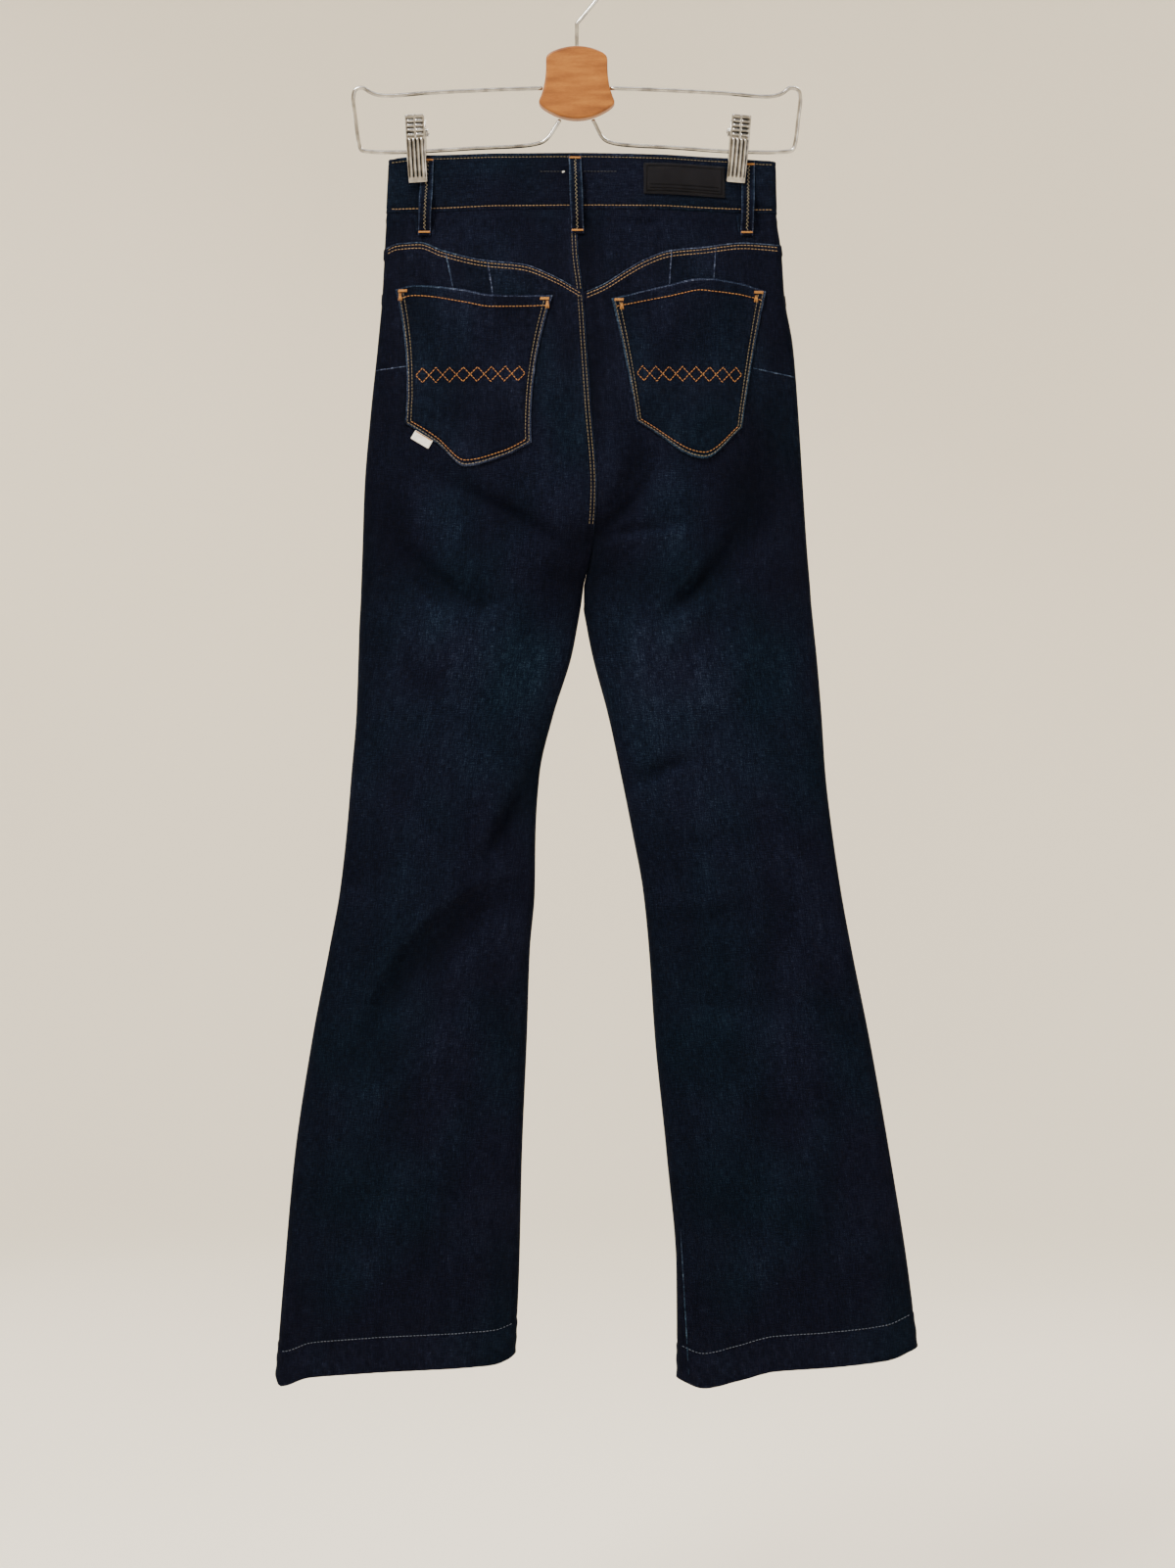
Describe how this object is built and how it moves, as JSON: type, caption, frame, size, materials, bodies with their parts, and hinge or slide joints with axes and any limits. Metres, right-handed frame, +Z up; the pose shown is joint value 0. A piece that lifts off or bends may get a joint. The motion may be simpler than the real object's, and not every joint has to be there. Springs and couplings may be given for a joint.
{
  "type": "flared jeans on a clip hanger",
  "caption": "Flared denim jeans hung flat by the waistband from a wire clip hanger with a wooden block and a hook.",
  "frame": {"origin": "inner crest of the hook, where it rests on a rail", "axes": "+Z up, -Y the seat side that the picture shows, +Y the fly side, -X the wearer's left"},
  "size_m": [0.5795, 0.0509, 1.2844],
  "materials": {
    "denim": "dark indigo stretch denim, slubby, matt",
    "thread": "orange and khaki topstitching thread",
    "patch": "smooth dark leather-like patch",
    "tab": "blank white woven tab",
    "chrome": "bright chrome-plated steel",
    "beech": "lacquered beech",
    "button": "antique brass",
    "zip": "zip on dark tape"
  },
  "bodies": {
    "root": {"back_left": "denim", "back_right": "denim", "front_left": "denim", "front_right": "denim", "yoke_left": "denim", "yoke_right": "denim", "facing_left": "denim", "facing_right": "denim", "pocket_left": "denim", "pocket_right": "denim", "waistband": "denim", "fly_flap": "denim", "loop_back_left": "denim", "loop_back_centre": "denim", "loop_back_right": "denim", "loop_front_left": "denim", "loop_front_right": "denim", "hanger_wire_left": "chrome", "hanger_wire_right": "chrome", "hanger_hook": "chrome", "clip_left_back_jaw": "chrome", "clip_left_front_jaw": "chrome", "clip_left_sleeve": "chrome", "clip_right_back_jaw": "chrome", "clip_right_front_jaw": "chrome", "clip_right_sleeve": "chrome", "hanger_block": "beech", "waist_patch": "patch", "pocket_tab": "tab", "waist_button": "button", "fly_zip": "zip"}
  },
  "joints": []
}
